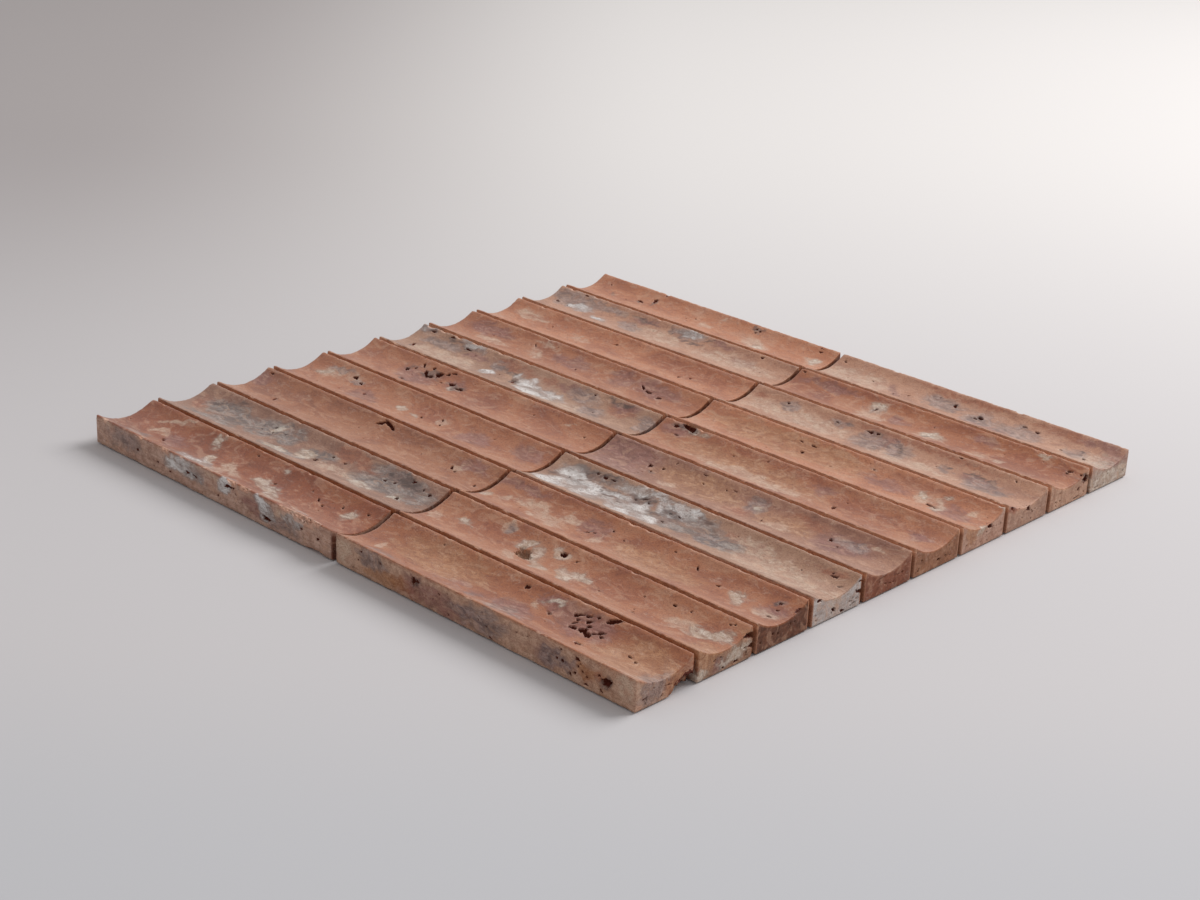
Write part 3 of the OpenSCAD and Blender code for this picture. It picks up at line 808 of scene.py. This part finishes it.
def paintMasks(mesh, look, row, column, shift):
    points = np.empty(len(mesh.vertices) * 3)
    mesh.vertices.foreach_get("co", points)
    points = points.reshape(-1, 3)
    warped = points + swayAt(points, 0.16, (shift, 0, 0)) * 2.6 + swayAt(points, 0.5, (0, shift, 0)) * 1.5
    along, across, height = points.T
    below = fluteHeight(across) - height
    masks = {"sawn": np.clip((below - 0.2) / 0.3, 0, 1)}
    # painted bounce light, a redder and paler colour, lies on the faces that stand in a joint, so on all but
    # the sheet's two outer sides
    gaps = [across] * (column > 1) + [stripWidth - across] * (column < 10)
    masks["joint"] = onFace(np.min(gaps, axis=0)) * masks["sawn"]
    # and painted shade darkens them deeper down, most of all in the gap between the two rows
    deepJointShade = masks["joint"] * np.clip((jointBounceAndShade["shadeFrom"] - height) / jointBounceAndShade["shadeFade"], 0, 0.6)
    betweenRows = onFace(along if row else stripLength - along) * masks["sawn"]
    masks["slot"] = np.maximum(deepJointShade, betweenRows * np.clip(below / jointBounceAndShade["gapShadeFade"], *jointBounceAndShade["gapShadeRange"]))
    for name in patches:
        masks[name] = blobMask(points, warped, marksOf(look, name))
    for name, values in masks.items():
        mesh.attributes.new(name, "FLOAT", "POINT").data.foreach_set("value", values.astype(np.float32))


def findSawnFaces(mesh):
    # 1 for each face of the sides, ends and underside, 0 for the worked face
    middles = np.empty(len(mesh.polygons) * 3)
    mesh.polygons.foreach_get("center", middles)
    middles = middles.reshape(-1, 3)
    return (fluteHeight(middles[:, 1]) - middles[:, 2] > 0.45).astype(np.int32)


def shapeStrip(name, look, row, column):
    chance = random.Random(name)
    marks = scatterMarks(look, row, column)
    bm = bmesh.new()
    bm.from_mesh(blankMesh)
    aroundAll, aroundPits = blank["fineMargins"]
    cutFiner(bm, marks, aroundAll)
    cutFiner(bm, [mark for mark in marks if mark["kind"] == "pit"], aroundPits)
    if name == cornerBreak["strip"]:
        around = makeMark("under", stripLength - 5, stripWidth - 6, 14, 14, 0, 7)
        cutFiner(bm, [around], 0)
    bm.normal_update()
    points = np.array([vert.co for vert in bm.verts])
    normals = np.array([vert.normal for vert in bm.verts])
    hollow, fresh = np.zeros(len(points)), np.zeros(len(points))
    grit = noiseAt(points, 1.7, column * 5.1 + row * 31)
    wearEdges(points, normals, column * 6.3 + row * 71)
    for mark in marks:
        carve(points, hollow, fresh, mark, grit, chance)
    if name == cornerBreak["strip"]:
        breakCorner(points, hollow, noiseAt(points, 0.7, 2.2))
    hollowLayer = bm.verts.layers.float.new("hollow")
    freshLayer = bm.verts.layers.float.new("fresh")
    for vert, point, deep, pale in zip(bm.verts, points, hollow, fresh):
        vert.co = point
        vert[hollowLayer] = deep
        vert[freshLayer] = pale
    bmesh.ops.remove_doubles(bm, verts=bm.verts, dist=0.01)
    bmesh.ops.dissolve_degenerate(bm, edges=bm.edges, dist=0.005)
    bmesh.ops.triangulate(bm, faces=[face for face in bm.faces if len(face.verts) > 4])
    mesh = bpy.data.meshes.new("travertine_" + name)
    bm.to_mesh(mesh)
    bm.free()
    paintMasks(mesh, look, row, column, column * 7.3 + row * 53)
    return mesh


# Colours as they look in plain light. Each ground runs from its dark to its pale clouds
grounds = {
    "russet": ("763512", "91471D", "A96333"),
    "orange": ("884426", "A45F37", "B97850"),
    "terracotta": ("8D4B2E", "A96641", "BD805B"),
    "brown": ("7E442A", "9F603C", "B57953"),
    "mauve": ("804E3C", "9C6A52", "B58469"),
    "rose": ("9A6952", "B58266", "CA9C82"),
    "sand": ("8A6050", "A3785E", "BE957C"),
    "umber": ("7E5442", "946852", "AE8670"),
    "apricot": ("9A5636", "B8744E", "CA8E6C"),
}
# Each patch has its two colours, how far it covers the ground and how dark its rim is
patches = {
    "rust": ("8C4526", "A55F3B", 0.7, 0),
    "ochre": ("9C6742", "BD8A62", 0.7, 0),
    "mauve": ("74443F", "95645D", 0.75, 0),
    "cream": ("BA9480", "D4BEA8", 0.65, 0),
    "grey": ("6E5D5B", "A38F89", 0.8, 0.1),
    "slate": ("625A59", "96908D", 0.85, 0.2),
    "calcite": ("B3A08E", "DAD2C4", 0.75, 0.3),
    "marble": ("A8A09D", "E2DFDD", 0.92, 0.3),
    "stain": ("4A332D", "6E544C", 0.85, 0),
}
finish = {
    "sawn": "8C573E",
    "fresh": "DDB19A",
    # the hollow colour is the pits' own dark maroon, laid on more deeply as painted shade
    "hollow": "5A2517",
    "rim": "6E5850",
    "speck": "5F3223",
    # the joint colours are painted bounce light on the faces in a joint, paler for the far columns
    "joint": ("B5744F", "C98C69", "DDA583"),
    # the slot colour is painted shade deep in the joints and in the gap between the rows
    "slot": "6A3826",
    "haze": "956550",
    "light": "CC9F82",
    "sheen": "FFF4EE",
    "sawnShade": "B59F93",
    "strokeShade": "C4AEA2",
    "grainShade": "AE968B",
    "curls": (("8E5A4C", 0.5, 0.05, 0.4), ("DCC3B2", 0.43, 0.06, 0.2)),
}
# Noise in the stone, as (space, scale per millimetre, detail, roughness, distortion)
patterns = {
    "cloud": ("drawn", 0.08, 5, 0.6, 0.8),
    "mottle": ("place", 0.35, 5, 0.65, 0.4),
    "strokes": ("drawn", 0.8, 4, 0.6, 2.2),
    "grain": ("place", 2.6, 3, 0.65, 0),
    "ragged": ("drawn", 0.3, 6, 0.62, 1),
    "layers": ("layered", 0.9, 4, 0.6, 0.3),
    "swirl": ("drawn", 0.2, 3, 0.5, 1.6),
    "billow": ("drawn", 0.13, 5, 0.58, 0.5),
    "curl": ("drawn", 0.22, 3, 0.55, 1.8),
    "cluster": ("place", 0.17, 2, 0.55, 0),
}


def startMaterial(name):
    material = bpy.data.materials.new(name)
    material.use_nodes = True
    tree = material.node_tree
    coords = tree.nodes.new("ShaderNodeTexCoord").outputs["Object"]
    return material, tree, tree.nodes["Principled BSDF"], coords


def fillSocket(tree, socket, value):
    if isinstance(value, bpy.types.NodeSocket):
        tree.links.new(value, socket)
    else:
        socket.default_value = value


def addNode(tree, kind, **inputs):
    made = tree.nodes.new(kind)
    for name, value in inputs.items():
        fillSocket(tree, made.inputs[name.replace("_", " ")], value)
    return made


def addNoise(tree, place, scale, detail, roughness, distortion=0):
    made = addNode(
        tree, "ShaderNodeTexNoise", Vector=place, Scale=scale, Detail=detail, Roughness=roughness,
        Distortion=distortion,
    )
    return made.outputs["Fac"]


def addMath(tree, operation, first, second):
    made = tree.nodes.new("ShaderNodeMath")
    made.operation = operation
    for socket, value in zip(made.inputs, (first, second)):
        fillSocket(tree, socket, value)
    return made.outputs[0]


def addProduct(tree, first, second):
    return addMath(tree, "MULTIPLY", first, second)


def addGap(tree, value, middle):
    # how far the value is from the middle
    return addMath(tree, "ABSOLUTE", addMath(tree, "SUBTRACT", value, middle), 0)


def addStep(tree, value, low, high, top=1.0):
    made = addNode(tree, "ShaderNodeMapRange", Value=value, From_Min=low, From_Max=high, To_Max=top)
    made.interpolation_type = "SMOOTHSTEP"
    return made.outputs[0]


def addMix(tree, amount, under, over, style="MIX"):
    made = tree.nodes.new("ShaderNodeMix")
    made.data_type = "RGBA"
    made.blend_type = style
    for index, value in ((0, amount), (6, under), (7, over)):
        fillSocket(tree, made.inputs[index], value)
    return made.outputs[2]


def addShade(tree, amount, colour, code):
    return addMix(tree, amount, colour, addMix(tree, 1.0, colour, tone(code), "MULTIPLY"))


def readMask(tree, name):
    made = tree.nodes.new("ShaderNodeAttribute")
    made.attribute_name = name
    return made.outputs["Fac"]


def makeStone(name, ground, sawn, joint, shift, sheen):
    material, tree, shader, coords = startMaterial(name)
    step, mix, product, shaded, combine, gap, readIn = (
        partial(add, tree) for add in (addStep, addMix, addProduct, addShade, addMath, addGap, readMask)
    )
    # millimetres, moved on for each strip so that no two share a pattern
    place = addNode(
        tree, "ShaderNodeMapping", Vector=coords, Location=(shift, shift * 0.6, 0), Scale=(1000, 1000, 1000)
    ).outputs[0]
    drawn = addNode(
        tree, "ShaderNodeMapping", Vector=place, Rotation=(0, 0, math.radians(shift * 7 % 24 - 12)),
        Scale=(0.55, 1, 1),
    ).outputs[0]
    layered = addNode(tree, "ShaderNodeMapping", Vector=place, Scale=(0.05, 0.05, 1)).outputs[0]
    spaces = {"place": place, "drawn": drawn, "layered": layered}
    cloud, mottle, strokes, grain, ragged, layers, swirl, billow, curl, cluster = (
        addNoise(tree, spaces[space], *numbers) for space, *numbers in patterns.values()
    )

    ramp = tree.nodes.new("ShaderNodeValToRGB")
    dark, middle, pale = (tone(code) for code in grounds[ground])
    stops = ramp.color_ramp.elements
    stops[0].position = 0.28
    stops[0].color = dark
    stops[1].position = 0.72
    stops[1].color = pale
    stops.new(0.5).color = middle
    tree.links.new(cloud, ramp.inputs[0])
    colour = ramp.outputs[0]

    # sawn faces are duller, with faint layers of the bed, and carry painted bounce light where they stand in
    # a joint and painted shade deep in the joints and between the rows
    sawnColour = mix(step(ragged, 0.35, 0.7, 0.3), tone(sawn), colour)
    darker = mix(1.0, sawnColour, tone(finish["sawnShade"]), "MULTIPLY")
    sawnColour = mix(step(layers, 0.42, 0.65, 0.3), sawnColour, darker)
    sawnColour = mix(step(mottle, 0.42, 0.62, 0.45), sawnColour, darker)
    whole = combine("SUBTRACT", 1.0, readIn("fresh"))
    sawnPart = product(readIn("sawn"), whole)
    colour = mix(sawnPart, colour, sawnColour)
    # painted bounce light on the faces that stand in a joint
    colour = mix(product(readIn("joint"), whole), colour, joint)
    # painted shade deep in the joints and in the gap between the rows
    colour = mix(product(readIn("slot"), whole), colour, tone(finish["slot"]))

    # each patch is a thin haze with wisps in it and a darker rim where it is palest. Marble is smooth
    # and cloudy, and the others are drawn in strokes
    wisps = combine("ADD", product(swirl, 2.4), product(strokes, 0.4))
    smooth = combine("ADD", product(billow, 2.4), 0.2)
    for patch, (under, over, strength, rim) in patches.items():
        mask = readIn(patch)
        outline, inside = (smooth, billow) if patch == "marble" else (wisps, ragged)
        edge = step(combine("ADD", mask, outline), 1.4, 2.5)
        wispy = product(edge, step(mask, 0, 0.4, strength))
        cover = combine("MAXIMUM", wispy, product(mask, 0.3))
        ring = product(step(wispy, 0.1, 0.35, rim), step(wispy, 0.65, 0.4))
        body = mix(step(inside, 0.4, 0.6), tone(under), tone(over))
        colour = mix(cover, colour, body)
        colour = mix(ring, colour, tone(finish["rim"]))
    marble = step(readIn("marble"), 0, 0.5)
    vein = product(step(gap(ragged, 0.5), 0.03, 0.005, 0.6), marble)
    colour = mix(vein, colour, tone(finish["rim"]))

    # strokes, haze, curling lines and fine grain over everything, with less of them on the marble
    calm = combine("SUBTRACT", 1.0, product(marble, 0.75))
    stroked = product(step(strokes, 0.52, 0.3, 0.7), calm)
    colour = shaded(stroked, colour, finish["strokeShade"])
    worked = combine("SUBTRACT", 1.0, sawnPart)
    hazy = product(step(cloud, 0.52, 0.68, 0.3), worked)
    colour = mix(hazy, colour, tone(finish["haze"]))
    lighter = product(step(swirl, 0.5, 0.7, 0.35), calm)
    colour = mix(lighter, colour, tone(finish["light"]))
    for code, middleOf, width, strength in finish["curls"]:
        thread = step(gap(curl, middleOf), width, 0)
        line = product(thread, step(ragged, 0.45, 0.65, strength))
        colour = mix(line, colour, tone(code))
    colour = shaded(step(grain, 0.46, 0.7, 0.6), colour, finish["grainShade"])

    # dark specks in clusters, pale stone in fresh chips, and hollows darkened by their own dark colour and by
    # painted shade
    dots = addNode(tree, "ShaderNodeTexVoronoi", Vector=place, Scale=0.45, Randomness=1.0)
    speck = step(dots.outputs["Distance"], 0.16, 0.06)
    speck = product(speck, step(cluster, 0.55, 0.66))
    colour = mix(product(speck, 0.6), colour, tone(finish["speck"]))
    fresh = product(readIn("fresh"), 0.65)
    colour = mix(fresh, colour, tone(finish["fresh"]))
    depth = combine("ADD", readIn("hollow"), product(grain, 0.3))
    hollow = step(depth, 0.45, 0.95)
    colour = mix(hollow, colour, tone(finish["hollow"]))
    tree.links.new(colour, shader.inputs["Base Color"])

    rough = combine("ADD", product(mottle, 0.3), 0.4)
    tree.links.new(combine("MAXIMUM", rough, hollow), shader.inputs["Roughness"])
    shader.inputs["Specular IOR Level"].default_value = 0.45 if sheen else 0.3
    shader.inputs["Sheen Weight"].default_value = sheen
    shader.inputs["Sheen Tint"].default_value = tone(finish["sheen"])
    shader.inputs["Sheen Roughness"].default_value = 0.5

    fine = addNode(tree, "ShaderNodeBump", Height=grain, Strength=0.35, Distance=0.0001)
    broad = addNode(
        tree, "ShaderNodeBump", Height=ragged, Normal=fine.outputs[0], Strength=0.4, Distance=0.0002
    )
    tree.links.new(broad.outputs[0], shader.inputs["Normal"])
    return material


# Stone strips, one dressed piece for each CAD node
triangles = 0
for rowNumber, rowName in enumerate(("left", "right")):
    for columnNumber in range(1, 11):
        name = f"{rowName}_{columnNumber:02d}"
        nodeName = "strip_" + name
        look = looks[name]
        mesh = shapeStrip(name, look, rowNumber, columnNumber)
        sawnFaces = findSawnFaces(mesh)
        mesh.transform(Matrix.Translation(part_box(nodeName)[0]) @ Matrix.Scale(mm, 4))
        shift = columnNumber * 37 + rowNumber * 411
        # the joints' painted bounce light is paler for the far columns
        joint = tone(finish["joint"][min(columnNumber // 3, 2)])
        for face, sheen in (("worked_", 0.35), ("sawn_", 0)):
            mesh.materials.append(makeStone(
                face + name, look["ground"], look.get("sawn", finish["sawn"]), joint, shift, sheen
            ))
        mesh.polygons.foreach_set("material_index", sawnFaces)
        mesh.shade_smooth()
        piece = bpy.data.objects.new("travertine_" + name, mesh)
        bpy.context.scene.collection.objects.link(piece)
        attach(piece, "root")
        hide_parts(nodeName)
        triangles += sum(len(face.vertices) - 2 for face in mesh.polygons)
    print(rowName, "row dressed")
print("triangles:", triangles)


# Glass-fibre net, of which only the ends of the threads are seen
net = {"thread": "C9B9A6", "resin": "A58E7B", "twist": 900}


def makeNetFinish():
    material, tree, shader, coords = startMaterial("glassFibre")
    fibres = addNoise(tree, coords, net["twist"], 4, 0.6)
    colour = addMix(tree, fibres, tone(net["thread"]), tone(net["resin"]))
    tree.links.new(colour, shader.inputs["Base Color"])
    shader.inputs["Roughness"].default_value = 0.55
    bump = addNode(tree, "ShaderNodeBump", Height=fibres, Strength=0.4, Distance=0.0001)
    tree.links.new(bump.outputs[0], shader.inputs["Normal"])
    return material


netFinish = makeNetFinish()
for nodeName in ("net_left", "net_middle", "net_right"):
    for netSlot in bpy.data.objects[nodeName].material_slots:
        netSlot.material = netFinish
print("net finished")


# Pale floor, seen along its turned Y: painted light makes it lighter far off, and painted shade darker at
# the front and at the far left. Soft light comes from behind on the right
studio = {
    "floorSize": 24,
    "floorTurn": -43,
    "floorNear": "CCC8C9",
    "floorPaintedLightFar": "DAD6D4",
    "floorPaintedShadeFront": "C5C4C7",
    "floorPaintedShade": "CBC7C8",
    "worldStrength": 0.5,
    "keyPlace": (0.45, 1.25, 1.3),
    "keySide": 1.2,
    "keyPower": 30,
}


def makeFloor():
    bm = bmesh.new()
    bmesh.ops.create_grid(bm, x_segments=4, y_segments=4, size=studio["floorSize"] / 2)
    mesh = bpy.data.meshes.new("floor")
    bm.to_mesh(mesh)
    bm.free()
    material, tree, shader, coords = startMaterial("paper")
    turn = math.radians(studio["floorTurn"])
    turned = addNode(tree, "ShaderNodeMapping", Vector=coords, Rotation=(0, 0, turn))
    rightward, away, _ = addNode(tree, "ShaderNodeSeparateXYZ", Vector=turned.outputs[0]).outputs
    # painted light far off, and painted shade at the front and at the far left
    colour = addMix(tree, addStep(tree, away, -0.1, 0.6), tone(studio["floorNear"]), tone(studio["floorPaintedLightFar"]))
    colour = addMix(tree, addStep(tree, away, -0.17, -0.32), colour, tone(studio["floorPaintedShadeFront"]))
    paintedShadeFarLeft = addProduct(tree, addStep(tree, rightward, 0.05, -0.35), addStep(tree, away, -0.15, 0.5))
    colour = addShade(tree, paintedShadeFarLeft, colour, studio["floorPaintedShade"])
    tree.links.new(colour, shader.inputs["Base Color"])
    shader.inputs["Roughness"].default_value = 0.9
    shader.inputs["Specular IOR Level"].default_value = 0.1
    mesh.materials.append(material)
    floor = bpy.data.objects.new("floor", mesh)
    bpy.context.scene.collection.objects.link(floor)


def makeLight():
    world = bpy.data.worlds.new("studio")
    world.use_nodes = True
    background = world.node_tree.nodes["Background"]
    background.inputs["Color"].default_value = (1, 1, 1, 1)
    background.inputs["Strength"].default_value = studio["worldStrength"]
    bpy.context.scene.world = world
    data = bpy.data.lights.new("key", "AREA")
    data.shape = "SQUARE"
    data.size = studio["keySide"]
    data.energy = studio["keyPower"]
    lamp = bpy.data.objects.new("key", data)
    lamp.location = studio["keyPlace"]
    lamp.rotation_euler = Vector(studio["keyPlace"]).to_track_quat("Z", "Y").to_euler()
    bpy.context.scene.collection.objects.link(lamp)


makeFloor()
makeLight()
bpy.context.scene.view_settings.view_transform = "Standard"
print("floor and light set")
